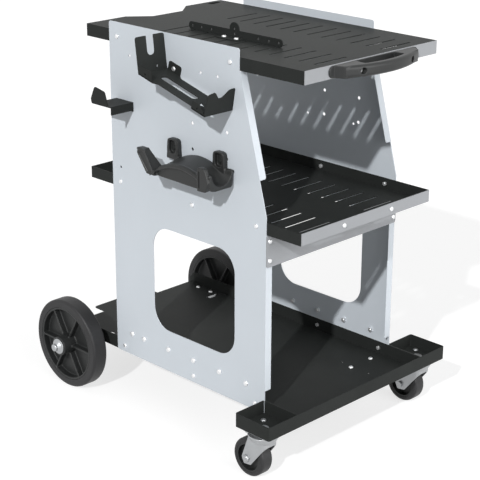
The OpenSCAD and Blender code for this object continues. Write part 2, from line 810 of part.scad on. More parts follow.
module arm_plate() {
    w = fork_w;
    g = fit_gap;
    a = arm_end_l;
    r = arm_corner_r;
    difference() {
        linear_extrude(holder_t) polygon(rounded([
            [-w, 0], [-w, a], [-w + arm_waist, a + arm_waist], [-w + arm_waist, arm_l - a - arm_waist],
            [-w, arm_l - a], [-w, arm_l], [-g, arm_l], [-g, arm_l - a],
            [-g - arm_waist, arm_l - a - arm_waist], [-g - arm_waist, a + arm_waist], [-g, a], [-g, 0]
        ], [0, r, r, r, r, 0, 0, r, r, r, r, 0]));
        translate([-w/2, arm_l/2, -cut]) linear_extrude(holder_t + 2*cut)
            round_rect(arm_slot_w, arm_slot_l, arm_slot_w/2 - fit_gap);
    }
}

// Turned-down gusset on the arm's outer edge, from start on, with its upper end cut back by slant
module arm_gusset(start, slant, corner_r) {
    translate([-fork_w, start, 0]) rotate([90, 0, 90]) linear_extrude(holder_t) difference() {
        polygon(rounded([
            [0, holder_t], [slant, -vee_drop], [gusset_l, -vee_drop], [gusset_l, holder_t]
        ], corner_r));
        translate([gusset_l/2, -vee_drop/2]) circle(holder_hole_d/2, $fn = small_fn);
    }
}

// Outline of the V plate, in shares of its width and height
vee_shares = [[1, 0], [0.89, 0.93], [0.67, 1], [0.555, 0.7], [0.43, 0.7], [0.19, 0.98], [0.03, 1], [0, 0]];
vee_radius_shares = [0, 0.055, 0.07, 0.08, 0.08, 0.14, 0.025, 0];

module vee_plate() {
    w = fork_w - fit_gap;
    translate([-fit_gap, arm_l, -vee_drop]) rotate([90, 0, 0]) linear_extrude(holder_t)
        polygon(rounded([for (share = vee_shares) [-share[0]*w, share[1]*vee_h]], vee_radius_shares*w));
}

module torch_holder() {
    r = fork_corner_r;
    color(DARK) difference() {
        union() {
            fork_plate();
            arm_frame() {
                arm_plate();
                arm_gusset(0, gusset_cut, [0, 0, r, 0]);
                arm_gusset(arm_l - gusset_l, 0, [0, r, 0, 0]);
                vee_plate();
            }
            side_sheet(-panel_x - holder_t - fit_gap, holder_t) arm_tab_outline();
        }
        x_bar(-panel_x - holder_t - cut, arm_tab_y, arm_tab_z, holder_hole_d/2 + fit_gap, holder_t + 2*cut);
    }
}

// Tab turned down from the arm's inner edge, flat against the side panel
module arm_tab_outline() {
    front = tab_rear_y - tab_l;
    top = arm_z + holder_t/2;
    rear_fall = (arm_y - tab_rear_y)*tan(arm_slope);
    front_fall = (arm_y - front)*tan(arm_slope);
    polygon(rounded([
        [tab_rear_y, top - rear_fall], [front, top - front_fall],
        [front, top - front_fall - tab_h], [tab_rear_y, top - rear_fall - tab_h]
    ], [0, 0, tab_corner_r, tab_corner_r]));
}

// Cable hook: plate with a turned-down flange and an upturned tab at its outer end
hook_flange_share = 0.97;
hook_tab_shares = [[-0.85, 0], [0.135, 0], [0.173, 0.28], [-0.06, 1], [-0.65, 0.83]];

module cable_hook() {
    flange_l = hook_flange_share*hook_reach;
    low = hook_z - holder_t;
    r = hook_corner_r;
    color(DARK) difference() {
        union() {
            translate([-panel_x - hook_reach, hook_y - hook_w, low])
                cube([hook_reach - fit_gap, hook_w, holder_t]);
            translate([-panel_x - flange_l, hook_y - hook_w, hook_z - hook_flange_h])
                cube([flange_l - fit_gap, holder_t, hook_flange_h]);
            translate([-panel_x - holder_t - fit_gap, hook_y - hook_w, low - hook_flange_h])
                cube([holder_t, hook_w, hook_flange_h + holder_t]);
            side_sheet(-panel_x - hook_reach, holder_t) polygon(rounded([
                for (share = hook_tab_shares)
                    [hook_y + share[0]*hook_w, low + share[1]*(hook_tab_h + holder_t)]
            ], [0, r, r, r, r]));
        }
        x_bar(-panel_x - holder_t - cut, hook_hole_y, hook_hole_z, holder_hole_d/2 + fit_gap, holder_t + 2*cut);
    }
}

// Moulded hanger: arched saddle between two fixing lugs, with a lip, a horn and a prong outside
saddle_rise = 42;
saddle_sag = 10;
saddle_peak_share = 0.45;
saddle_t = 5;
skirt_inset = 6;
skirt_low = 5;
skirt_over = 8;
horn_t = 12;
prong_w = 24;
prong_h = 53;
prong_r = 9;
channel_r = 26;
channel_t = 8;
channel_edge_r = 7;
channel_bevel = 14;
lug_top_r = 9;
lug_low_r = 3;
lug_taper_share = 0.42;
lug_boss_t = 2;
lug_boss_r = 9;
head_room = 2;

// Outline of the horn, in shares of the fixing pitch and of a lug's height
horn_shares = [[-0.12, 0.1], [0.11, 0.1], [0.28, 0.76], [0.15, 0.85], [-0.17, 0.46]];
horn_radius_shares = [0.12, 0.12, 0.15, 0.18, 0.3];

function saddle_y(s) = hanger_y - hanger_pitch*s;
function saddle_z(s) = hanger_low_z + saddle_rise - saddle_sag*pow((s - saddle_peak_share)*2, 2);

module hanger_lug(y) {
    reach = lug_taper_share*lug_w;
    side_sheet(-panel_x - fit_gap - 2*hanger_t, 2*hanger_t) polygon(rounded([
        [y - lug_w/2, hanger_low_z], [y + lug_w/2, hanger_low_z], [y + reach, hanger_low_z + lug_h],
        [y - reach, hanger_low_z + lug_h]
    ], [lug_low_r, lug_low_r, lug_top_r, lug_top_r]));
    x_bar(-panel_x - fit_gap - 2*hanger_t - lug_boss_t, y, hanger_hole_z, lug_boss_r, 2*lug_boss_t);
}

module cable_hanger() {
    out_x = -panel_x - hanger_reach;
    back_x = -panel_x - fit_gap;
    steps = 12;
    top = [for (i = [0:steps]) [saddle_y(i/steps), saddle_z(i/steps)]];
    under = [for (i = [0:steps]) [saddle_y(1 - i/steps), saddle_z(1 - i/steps) - saddle_t]];
    low = hanger_low_z + skirt_low;
    skirt = [[saddle_y(1), low], [saddle_y(0) - skirt_over, low]];
    front_end = hanger_y - hanger_pitch - lug_w/2;
    color(PLASTIC) difference() {
        union() {
            for (y = hanger_hole_ys)
                hanger_lug(y);
            side_sheet(out_x, back_x - out_x) polygon(concat(top, under));
            side_sheet(out_x + skirt_inset, hanger_t) polygon(concat(top, skirt));
            side_sheet(back_x - hanger_t, hanger_t) polygon(concat(top, skirt));
            translate([out_x + skirt_inset, saddle_y(1), low])
                cube([back_x - out_x - skirt_inset, hanger_t, saddle_z(1) - saddle_t/2 - low]);
            side_sheet(out_x, horn_t) polygon(rounded([
                for (share = horn_shares) [hanger_y + share[0]*hanger_pitch, hanger_low_z + share[1]*lug_h]
            ], horn_radius_shares*lug_w));
            front_channel(front_end);
            side_sheet(out_x, horn_t) polygon(rounded([
                [front_end, hanger_low_z + channel_t], [front_end + prong_w, hanger_low_z + channel_t],
                [front_end + prong_w, hanger_low_z + prong_h], [front_end, hanger_low_z + prong_h]
            ], [channel_edge_r, 0, prong_r, prong_r]));
        }
        for (y = hanger_hole_ys) {
            x_bar(back_x - 3*hanger_t, y, hanger_hole_z, holder_hole_d/2 + fit_gap, 4*hanger_t);
            x_bar(back_x - 3*hanger_t, y, hanger_hole_z, holder_hole_d + head_room, 2*hanger_t);
        }
    }
}

// Channel that joins the front lug to the prong, open upward with a round bottom
module front_channel(y) {
    out_x = -panel_x - hanger_reach;
    mid_x = -panel_x - hanger_reach/2 + hanger_t/2;
    low = hanger_low_z;
    r = channel_edge_r;
    translate([0, y + prong_w, 0]) rotate([90, 0, 0]) linear_extrude(prong_w) difference() {
        polygon(rounded([
            [out_x, low + prong_h/2], [out_x, low + channel_t], [out_x + channel_bevel, low],
            [-panel_x - fit_gap, low], [-panel_x - fit_gap, low + prong_h/2]
        ], [0, r, r, 0, 0]));
        translate([mid_x, low + channel_t + channel_r]) circle(channel_r, $fn = round_fn);
        translate([mid_x - channel_r, low + channel_t + channel_r]) square([2*channel_r, channel_r]);
    }
}

// Rear axle across the cart and what carries it
module rear_axle() {
    end = hub_end_x + side_gap + cap_bore_l - fit_gap;
    color(ZINC) x_bar(-end, axle_y, axle_z, axle_d/2, 2*end, round_fn);
}

module axle_bearer() {
    difference() {
        union() {
            translate([bearer_x, axle_y - bearer_l/2, foot_z - fit_gap/2 - bearer_t])
                cube([bearer_w, bearer_l, bearer_t]);
            for (x = [bearer_x, bearer_x + bearer_w - bearer_t])
                side_sheet(x, bearer_t) polygon(rounded([
                    [axle_y - bearer_l/2, foot_z - fit_gap/2], [axle_y - axle_d, axle_z - axle_d],
                    [axle_y + axle_d, axle_z - axle_d], [axle_y + bearer_l/2, foot_z - fit_gap/2]
                ], [0, 5, 5, 0]));
        }
        x_bar(bearer_x - cut, axle_y, axle_z, axle_d/2 + run_gap, bearer_w + 2*cut, round_fn);
        for (p = bearer_hole_points)
            translate([p[0], p[1], foot_z - bearer_t - cut])
                cylinder(h = bearer_t + 2*cut, r = floor_screw_d/2 + fit_gap, $fn = small_fn);
    }
}

module axle_bearers() {
    color(ZINC) {
        axle_bearer();
        mirror([1, 0, 0]) axle_bearer();
    }
}

// Spacer tube between a bearer and the inner end of a hub
module axle_spacer() {
    start = bearer_x + bearer_w + fit_gap;
    difference() {
        x_bar(start, axle_y, axle_z, spacer_r, hub_start_x - side_gap - start, round_fn);
        x_bar(start - cut, axle_y, axle_z, bore_r, hub_start_x - start + 2*cut, round_fn);
    }
}

module axle_spacers() {
    color(ZINC) {
        axle_spacer();
        mirror([1, 0, 0]) axle_spacer();
    }
}

// Domed push cap over the end of the axle
module axle_cap() {
    flange_z = hub_end_x + side_gap;
    translate([0, axle_y, axle_z]) rotate([0, 90, 0]) translate([0, 0, flange_z]) rotate_extrude($fn = round_fn)
        polygon(concat(
            [[axle_d/2 + fit_gap/2, 0], [cap_flange_r, 0], [cap_flange_r, cap_flange_t]],
            arc([cap_nose_r + cap_fillet_r, cap_flange_t + cap_fillet_r], cap_fillet_r, 270, 180, 3),
            arc([cap_nose_r - cap_dome_r, cap_nose_l - cap_dome_r], cap_dome_r, 0, 90, 6),
            [[0, cap_nose_l], [0, cap_bore_l], [axle_d/2 + fit_gap/2, cap_bore_l]]
        ));
}

module axle_caps() {
    color(ZINC) {
        axle_cap();
        mirror([1, 0, 0]) axle_cap();
    }
}

// Rear tyre: solid rubber ring with rounded shoulders, centred on the origin and turned about X
module rear_tyre() {
    r = wheel_d/2;
    w = wheel_w/2;
    s = tyre_shoulder;
    rotate([0, 90, 0]) rotate_extrude($fn = wheel_fn) polygon(concat(
        [[r - tyre_t, -w]], arc([r - s, -w + s], s, -90, 0, 5), arc([r - s, w - s], s, 0, 90, 5),
        [[r - tyre_t, w]]
    ));
}

// Rim: outer ring, thin web, six ribs a side and a long hub
module rear_rim() {
    ring_r = wheel_d/2 - tyre_t - fit_gap/2;
    recess_r = rim_recess_d/2;
    w = wheel_w/2;
    hub_low = hub_start_x - wheel_mid_x;
    hub_high = hub_end_x - wheel_mid_x;
    rib_reach = recess_r + rim_wall/2;
    rotate([0, 90, 0]) difference() {
        union() {
            difference() {
                translate([0, 0, -w]) cylinder(h = 2*w, r = ring_r, $fn = wheel_fn);
                translate([0, 0, web_t/2]) cylinder(h = w, r = recess_r, $fn = wheel_fn);
                translate([0, 0, -web_t/2 - w]) cylinder(h = w, r = recess_r, $fn = wheel_fn);
            }
            translate([0, 0, hub_low]) cylinder(h = hub_high - hub_low, r = hub_r, $fn = round_fn);
            for (i = [0:rib_count - 1])
                rotate([0, 0, i*360/rib_count]) translate([0, -rib_t/2, -w + rib_inset])
                    cube([rib_reach, rib_t, 2*(w - rib_inset)]);
        }
        translate([0, 0, hub_low - cut]) cylinder(h = hub_high - hub_low + 2*cut, r = bore_r, $fn = round_fn);
    }
}

module wheel_place(side) {
    translate([side*wheel_mid_x, axle_y, axle_z]) rotate([0, 0, side < 0 ? 180 : 0]) children();
}

module left_wheel_tyre() {
    color(RUBBER) wheel_place(LEFT) rear_tyre();
}

module left_wheel_rim() {
    color(PLASTIC) wheel_place(LEFT) rear_rim();
}

module right_wheel_tyre() {
    color(RUBBER) wheel_place(RIGHT) rear_tyre();
}

module right_wheel_rim() {
    color(PLASTIC) wheel_place(RIGHT) rear_rim();
}

// Castor top plate with the fixed half of the swivel race under it
module castor_plate_piece() {
    top = foot_z - fit_gap/2;
    difference() {
        union() {
            translate([0, 0, top - plate_t]) linear_extrude(plate_t)
                round_rect(castor_plate, castor_plate, panel_corner_r);
            translate([0, 0, top - plate_t - race_h + side_gap])
                cylinder(h = race_h, r = race_r, $fn = round_fn);
        }
        translate([0, 0, top - plate_t - race_h - cut])
            cylinder(h = plate_t + race_h + 2*cut, r = king_pin_r + run_gap, $fn = round_fn);
        for (p = castor_hole_points)
            translate([p[0], p[1], top - plate_t - cut])
                cylinder(h = plate_t + 2*cut, r = castor_screw_d/2 + fit_gap, $fn = small_fn);
    }
}

module castor_plates() {
    color(ZINC) for (side = [-1, 1])
        translate([side*castor_x, swivel_y, 0]) castor_plate_piece();
}

// King pin: riveted through the plate and the fork's crown, with a head at each end
module castor_king_pins() {
    low = fork_top_z - fork_t - fit_gap;
    color(ZINC) for (side = [-1, 1])
        translate([side*castor_x, swivel_y, 0]) {
            translate([0, 0, low - king_head_h]) cylinder(h = king_head_h, r = king_head_r, $fn = round_fn);
            translate([0, 0, low - fit_gap])
                cylinder(h = foot_z - low + 2*fit_gap, r = king_pin_r, $fn = round_fn);
            translate([0, 0, foot_z]) cylinder(h = king_head_h, r = king_head_r, $fn = round_fn);
        }
}

// Side view of the fork: crown on top, foot round the axle, front edge cut at a slope
fork_foot_shares = [[-0.9, -0.8], [0.5, -1], [1, 0]];

module fork_side() {
    f = -fork_front - fork_t;
    r = fork_side_r;
    foot = [for (share = fork_foot_shares) [castor_trail, castor_z] + share*fork_foot_r];
    polygon(rounded(concat(
        [[f, fork_top_z], [f, fork_top_z - fork_front_h]], foot,
        [[fork_crown_r, fork_top_z - fork_rear_h], [fork_crown_r, fork_top_z]]
    ), [0, r, r, r, r, r, 0]));
}

// Plan of the fork's walls: two sides joined by a front with wide bends, open at the rear
module fork_plan(inset) {
    w = fork_outer_w/2 - inset;
    f = -fork_front - fork_t + inset;
    r = fork_bend_r - inset;
    rear = castor_trail + 2*fork_foot_r;
    polygon(rounded([[-w, rear], [-w, f], [w, f], [w, rear]], [0, r, r, 0], 8));
}

module castor_fork() {
    reach = castor_trail + 3*fork_foot_r;
    difference() {
        union() {
            intersection() {
                linear_extrude(fork_top_z) difference() {
                    fork_plan(0);
                    translate([0, cut]) fork_plan(fork_t);
                    translate([-fork_inner_w/2, 0]) square([fork_inner_w, 2*reach]);
                }
                side_sheet(-fork_outer_w, 2*fork_outer_w) fork_side();
            }
            translate([0, 0, fork_top_z - fork_t]) intersection() {
                linear_extrude(fork_t) union() {
                    circle(fork_crown_r, $fn = round_fn);
                    translate([-fork_outer_w/2, -fork_front/2])
                        square([fork_outer_w, fork_front/2 + fork_crown_r]);
                    intersection() {
                        fork_plan(0);
                        translate([-fork_outer_w, -2*fork_front]) square([2*fork_outer_w, 2*fork_front]);
                    }
                }
                translate([0, 0, -cut]) cylinder(h = fork_t + 2*cut, r = reach, $fn = round_fn);
            }
        }
        translate([0, 0, fork_top_z - fork_t - cut])
            cylinder(h = fork_t + 2*cut, r = king_pin_r + run_gap, $fn = round_fn);
        x_bar(-fork_outer_w, castor_trail, castor_z, castor_bolt_r + run_gap, 2*fork_outer_w);
    }
}

// Castor tyre and hub, centred on the wheel's middle and turned about X
module castor_tyre() {
    r = castor_d/2;
    w = castor_w/2;
    s = castor_shoulder;
    rotate([0, 90, 0]) rotate_extrude($fn = wheel_fn) polygon(concat(
        [[r - castor_tyre_t, -w]], arc([r - s, -w + s], s, -90, 0, 6), arc([r - s, w - s], s, 0, 90, 6),
        [[r - castor_tyre_t, w]]
    ));
}

module castor_hub() {
    ring_r = castor_d/2 - castor_tyre_t - fit_gap/2;
    w = castor_w/2;
    rotate([0, 90, 0]) difference() {
        union() {
            difference() {
                translate([0, 0, -w + side_gap]) cylinder(h = 2*(w - side_gap), r = ring_r, $fn = round_fn);
                for (z = [castor_web_t/2, -castor_web_t/2 - w])
                    translate([0, 0, z]) cylinder(h = w, r = ring_r - rim_wall, $fn = round_fn);
            }
            translate([0, 0, -castor_hub_w/2]) cylinder(h = castor_hub_w, r = castor_hub_r, $fn = round_fn);
        }
        translate([0, 0, -castor_hub_w/2 - cut])
            cylinder(h = castor_hub_w + 2*cut, r = castor_bolt_r + run_gap, $fn = small_fn);
    }
}

// Castor axle: bolt with a round head outside and a nut inside
module castor_axle() {
    reach = fork_outer_w/2;
    head_l = castor_bolt_d*head_h_share;
    translate([-reach - fit_gap, 0, 0]) rotate([0, -90, 0]) pan_head(castor_bolt_d);
    x_bar(-reach - fit_gap, 0, 0, castor_bolt_r, 2*(reach + fit_gap));
    x_bar(reach + fit_gap, 0, 0, castor_bolt_d*nut_r_share, head_l, 6);
}

module castor_place(side) {
    translate([side*castor_x, swivel_y, 0]) mirror([side > 0 ? 1 : 0, 0, 0]) children();
}

module castor_wheel_place(side) {
    castor_place(side) translate([0, castor_trail, castor_z]) children();
}

module left_castor_fork() {
    color(ZINC) castor_place(LEFT) castor_fork();
}

module left_castor_tyre() {
    color(RUBBER) castor_wheel_place(LEFT) castor_tyre();
}

module left_castor_hub() {
    color(PLASTIC) castor_wheel_place(LEFT) castor_hub();
}

module left_castor_axle() {
    color(ZINC) castor_wheel_place(LEFT) castor_axle();
}

module right_castor_fork() {
    color(ZINC) castor_place(RIGHT) castor_fork();
}

module right_castor_tyre() {
    color(RUBBER) castor_wheel_place(RIGHT) castor_tyre();
}

module right_castor_hub() {
    color(PLASTIC) castor_wheel_place(RIGHT) castor_hub();
}

module right_castor_axle() {
    color(ZINC) castor_wheel_place(RIGHT) castor_axle();
}

// Bolts through the ears and the castor plates
module castor_bolts() {
    color(ZINC) for (side = [-1, 1], p = castor_hole_points)
        translate([side*castor_x + p[0], swivel_y + p[1], foot_z + sheet_t + fit_gap/2])
            screw(castor_screw_d, plate_t + sheet_t + fit_gap + fit_gap/2);
}

module crossbar_screws() {
    color(ZINC) for (side = [-1, 1], z = crossbar_hole_zs)
        translate([side*(panel_x - crossbar_inset), panel_low_y - crossbar_t - fit_gap - fit_gap/2, z])
            rotate([90, 0, 0]) screw(wall_screw_d, crossbar_t + sheet_t + 2*fit_gap);
}

module handle_screws() {
    seat_y = handle_head_y - fit_gap/2;
    color(ZINC) for (side = [-1, 1])
        translate([side*handle_pitch/2, seat_y, shelf_screw_z])
            rotate([90, 0, 0]) screw(wall_screw_d, front_y - seat_y + fascia_t + sheet_t + fit_gap);
}

module fascia_screws() {
    color(ZINC) for (side = [-1, 1])
        translate([side*handle_pitch/2, front_y - fit_gap/2, middle_screw_z])
            rotate([90, 0, 0]) screw(wall_screw_d, fascia_t + sheet_t + fit_gap);
}

// Screws through a panel and the wall of a tray, on both sides
module tray_screws(ys, z) {
    color(ZINC) for (side = [-1, 1], y = ys)
        side_screw(side, panel_x + fit_gap/2, y, z, wall_screw_d, 2*sheet_t + 2*fit_gap);
}

module shelf_screws() {
    tray_screws(shelf_screw_ys, shelf_screw_z);
}

module middle_screws() {
    tray_screws(wall_screw_ys, middle_screw_z);
}

module base_screws() {
    tray_screws(wall_screw_ys, base_screw_z);
}

module row_screws() {
    color(ZINC) for (side = [-1, 1], y = row_ys)
        side_screw(side, panel_x + fit_gap/2, y, row_z, row_screw_d, sheet_t + fit_gap);
}

// Screws that hold the torch holder, the cable hook and the cable hanger to the left panel
module holder_screws() {
    tab_x = panel_x + holder_t + fit_gap + fit_gap/2;
    lug_x = panel_x + hanger_t + fit_gap + fit_gap/2;
    color(ZINC) {
        side_screw(LEFT, tab_x, arm_tab_y, arm_tab_z, holder_hole_d, holder_t + sheet_t + 2*fit_gap);
        side_screw(LEFT, tab_x, hook_hole_y, hook_hole_z, holder_hole_d, holder_t + sheet_t + 2*fit_gap);
        for (y = hanger_hole_ys)
            side_screw(LEFT, lug_x, y, hanger_hole_z, holder_hole_d, hanger_t + sheet_t + 2*fit_gap);
    }
}

module strip_screws() {
    color(ZINC) for (y = strip_screw_ys)
        translate([-strip_x - strip_foot_w/2, y, deck_z + strip_t + fit_gap])
            screw(wall_screw_d, strip_t + sheet_t + fit_gap + fit_gap/2);
}

module floor_screws() {
    color(ZINC) {
        for (p = floor_points(floor_screw_shares))
            translate([p[0], p[1], foot_z + sheet_t + fit_gap/2]) screw(floor_screw_d, sheet_t + fit_gap);
        for (side = [-1, 1], p = bearer_hole_points)
            translate([side*p[0], p[1], foot_z + sheet_t + fit_gap/2])
                screw(floor_screw_d, bearer_t + sheet_t + fit_gap + fit_gap/2);
    }
}

left_side_panel();
right_side_panel();
top_shelf();
top_fascia();
middle_tray();
middle_fascia();
front_crossbar();
bottom_tray();
fixing_strip();
bow_handle();
torch_holder();
cable_hook();
cable_hanger();
rear_axle();
axle_bearers();
axle_spacers();
axle_caps();
left_wheel_tyre();
left_wheel_rim();
right_wheel_tyre();
right_wheel_rim();
castor_plates();
castor_king_pins();
left_castor_fork();
left_castor_tyre();
left_castor_hub();
left_castor_axle();
right_castor_fork();
right_castor_tyre();
right_castor_hub();
right_castor_axle();
castor_bolts();
crossbar_screws();
handle_screws();
fascia_screws();
shelf_screws();
middle_screws();
base_screws();
row_screws();
holder_screws();
strip_screws();
floor_screws();
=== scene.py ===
import json
import math

import bmesh
import bpy
from mathutils import Matrix, Vector
from mathutils.geometry import tessellate_polygon


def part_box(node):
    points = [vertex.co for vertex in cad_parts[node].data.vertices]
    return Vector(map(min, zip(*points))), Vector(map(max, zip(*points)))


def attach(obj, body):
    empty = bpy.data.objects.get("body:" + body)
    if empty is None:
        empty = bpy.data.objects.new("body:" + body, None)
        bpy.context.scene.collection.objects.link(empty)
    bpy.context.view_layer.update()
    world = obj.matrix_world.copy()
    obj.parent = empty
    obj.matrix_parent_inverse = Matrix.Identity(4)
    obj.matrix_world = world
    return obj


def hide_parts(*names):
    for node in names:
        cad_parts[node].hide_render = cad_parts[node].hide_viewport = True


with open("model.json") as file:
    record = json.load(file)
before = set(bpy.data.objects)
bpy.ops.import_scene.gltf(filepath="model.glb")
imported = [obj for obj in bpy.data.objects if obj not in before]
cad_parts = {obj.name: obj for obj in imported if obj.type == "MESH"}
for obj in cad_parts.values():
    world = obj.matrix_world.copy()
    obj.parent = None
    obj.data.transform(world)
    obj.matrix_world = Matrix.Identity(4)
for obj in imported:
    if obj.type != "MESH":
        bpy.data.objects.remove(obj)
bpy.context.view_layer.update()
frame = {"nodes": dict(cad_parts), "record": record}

NODES = frame["nodes"]
MM = 0.001


# Materials
def new_material(name):
    mat = bpy.data.materials.new(name)
    mat.use_nodes = True
    tree = mat.node_tree
    return mat, tree, tree.nodes["Principled BSDF"]


def add(tree, kind, **props):
    node = tree.nodes.new(kind)
    for key, value in props.items():
        if key in node.inputs:
            node.inputs[key].default_value = value
        else:
            setattr(node, key, value)
    return node


def noise(tree, scale, detail=3.0, stretch=(1, 1, 1)):
    coord = add(tree, "ShaderNodeTexCoord")
    mapping = add(tree, "ShaderNodeMapping", Scale=stretch)
    tex = add(tree, "ShaderNodeTexNoise", Scale=scale, Detail=detail)
    tree.links.new(coord.outputs["Object"], mapping.inputs["Vector"])
    tree.links.new(mapping.outputs["Vector"], tex.inputs["Vector"])
    return tex


def ramp(tree, source, low, high):
    node = add(tree, "ShaderNodeValToRGB")
    for element, place, colour in zip(node.color_ramp.elements, (0.3, 0.7), (low, high)):
        element.position = place
        element.color = (*colour, 1)
    tree.links.new(source, node.inputs["Fac"])
    return node


def scaled(colour, share):
    return tuple(min(1.0, channel * share) for channel in colour)


MOTTLE_SCALE, MOTTLE_DETAIL = 12.0, 4.0
GRAIN_DETAIL, GRAIN_DEPTH_MM = 3.0, 0.3
GLOSS_BELOW, GLOSS_ABOVE = 0.05, 0.06
BEVEL_SAMPLES = 4


def finish(name, colour, rough, spread, grain, grain_scale, edge_mm,
           metallic=0.0, specular=0.5, stretch=(1, 1, 1)):
    """A surface with a mottle in its colour, a fine grain in gloss and relief, and softened edges."""
    mat, tree, shader = new_material(name)
    mottle = noise(tree, MOTTLE_SCALE, MOTTLE_DETAIL)
    fine = noise(tree, grain_scale, GRAIN_DETAIL, stretch)
    tint = ramp(tree, mottle.outputs["Fac"], scaled(colour, 1 - spread), scaled(colour, 1 + spread))
    gloss = ramp(tree, fine.outputs["Fac"], (rough - GLOSS_BELOW,) * 3, (rough + GLOSS_ABOVE,) * 3)
    bevel = add(tree, "ShaderNodeBevel", samples=BEVEL_SAMPLES, Radius=edge_mm * MM)
    bump = add(tree, "ShaderNodeBump", Strength=grain, Distance=GRAIN_DEPTH_MM * MM)
    tree.links.new(fine.outputs["Fac"], bump.inputs["Height"])
    tree.links.new(bevel.outputs["Normal"], bump.inputs["Normal"])
    tree.links.new(bump.outputs["Normal"], shader.inputs["Normal"])
    tree.links.new(tint.outputs["Color"], shader.inputs["Base Color"])
    tree.links.new(gloss.outputs["Color"], shader.inputs["Roughness"])
    shader.inputs["Metallic"].default_value = metallic
    shader.inputs["Specular IOR Level"].default_value = specular
    return mat


ROLLED = (8, 1, 1)
FINISHES = {
    "panel_paint": dict(
        colour=(0.59, 0.635, 0.68), rough=0.42, spread=0.012, grain=0.03, grain_scale=1400, edge_mm=0.5),
    "grey_paint": dict(
        colour=(0.30, 0.31, 0.325), rough=0.45, spread=0.02, grain=0.04, grain_scale=1400, edge_mm=0.4),
    "black_paint": dict(
        colour=(0.023, 0.025, 0.024), rough=0.50, spread=0.10, grain=0.10, grain_scale=1100, edge_mm=0.5,
        specular=0.08),
    "black_plastic": dict(
        colour=(0.020, 0.021, 0.021), rough=0.42, spread=0.10, grain=0.12, grain_scale=2000, edge_mm=1.0,
        specular=0.35),
    "wheel_plastic": dict(
        colour=(0.017, 0.018, 0.018), rough=0.46, spread=0.10, grain=0.10, grain_scale=1600, edge_mm=0.8,
        specular=0.35),
    "tyre_rubber": dict(
        colour=(0.018, 0.018, 0.019), rough=0.50, spread=0.12, grain=0.20, grain_scale=700, edge_mm=1.0,
        specular=0.35),
    "screw_zinc": dict(
        colour=(0.80, 0.81, 0.82), rough=0.34, spread=0.04, grain=0.05, grain_scale=600, edge_mm=0.4,
        metallic=0.75),
    "zinc": dict(
        colour=(0.40, 0.41, 0.42), rough=0.40, spread=0.07, grain=0.08, grain_scale=300, edge_mm=0.6,
        metallic=0.9, stretch=ROLLED),
}
SLOT_MATERIALS = {name: finish(name, **values) for name, values in FINISHES.items()}
for part in frame["record"]["subparts"]:
    materials = NODES[part["node"]].data.materials
    materials.clear()
    materials.append(SLOT_MATERIALS[part["material_slot"]])


# Shapes, drawn in millimetres
def box_mm(node):
    low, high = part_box(node)
    return low / MM, high / MM


def rounded(corners, radii, steps=6):
    """Outline of 2D corners, each rounded by its own radius."""
    outline = []
    for i, radius in enumerate(radii):
        here, before, after = (Vector(corners[k % len(corners)]) for k in (i, i - 1, i + 1))
        if not radius:
            outline.append(here)
            continue
        back, on = (before - here).normalized(), (after - here).normalized()
        reach = radius / math.tan(back.angle(on) / 2)
        start, end = here + back * reach, here + on * reach
        for k in range(steps + 1):
            t = k / steps
            outline.append(start.lerp(here, t).lerp(here.lerp(end, t), t))
    return outline


def ring(x, y, radius, count=24):
    turns = (2 * math.pi * k / count for k in range(count))
    return [Vector((x + radius * math.cos(t), y + radius * math.sin(t))) for t in turns]


def sheet(outline, thickness, place, holes=()):
    """Closed shell of a flat plate: its outline in X and Y, its thickness along Z, set by a matrix."""
    loops = [outline, *holes]
    flat = [point.to_3d() for loop in loops for point in loop]
    caps = tessellate_polygon([[point.to_3d() for point in loop] for loop in loops])
    count = len(flat)
    faces = [tuple(cap) for cap in caps] + [tuple(i + count for i in cap) for cap in caps]
    first = 0
    for loop in loops:
        for i in range(len(loop)):
            a, b = first + i, first + (i + 1) % len(loop)
            faces.append((a, b, b + count, a + count))
        first += len(loop)
    raised = [point + Vector((0, 0, thickness)) for point in flat]
    return [place @ point for point in flat + raised], faces


def loft(sections):
    """Closed shell through rings of points, with a flat cap at each end."""
    size = len(sections[0])
    points = [point for section in sections for point in section]
    faces = [tuple(range(size)), tuple(range(len(points) - size, len(points)))]
    for i in range(len(sections) - 1):
        for j in range(size):
            a, b = i * size + j, i * size + (j + 1) % size
            faces.append((a, b, b + size, a + size))
    return points, faces


def node_shell(node, turn=Matrix.Identity(4)):
    """A CAD node's own shape, in millimetres, after a turn."""
    mesh = NODES[node].data
    return [turn @ (v.co / MM) for v in mesh.vertices], [tuple(p.vertices) for p in mesh.polygons]


def joined(name, shells):
    """One object in metres from shells in millimetres."""
    points, faces = [], []
    for shell_points, shell_faces in shells:
        faces += [tuple(i + len(points) for i in face) for face in shell_faces]
        points += [point * MM for point in shell_points]
    mesh = bpy.data.meshes.new(name)
    mesh.from_pydata(points, [], faces)
    shape = bmesh.new()
    shape.from_mesh(mesh)
    bmesh.ops.remove_doubles(shape, verts=shape.verts, dist=0.001 * MM)
    bmesh.ops.recalc_face_normals(shape, faces=shape.faces)
    shape.to_mesh(mesh)
    shape.free()
    piece = bpy.data.objects.new(name, mesh)
    bpy.context.scene.collection.objects.link(piece)
    return piece


def moulded(piece, voxel_mm, passes):
    """Melts a piece's overlapping shells into one skin with soft edges."""
    melt = piece.modifiers.new("melt", "REMESH")
    melt.mode = "VOXEL"
    melt.voxel_size = voxel_mm * MM
    soften = piece.modifiers.new("soften", "SMOOTH")
    soften.factor = 0.5
    soften.iterations = passes
    graph = bpy.context.evaluated_depsgraph_get()
    mesh = bpy.data.meshes.new_from_object(piece.evaluated_get(graph))
    piece.modifiers.clear()
    piece.data = mesh
    mesh.polygons.foreach_set("use_smooth", [True] * len(mesh.polygons))
    return piece


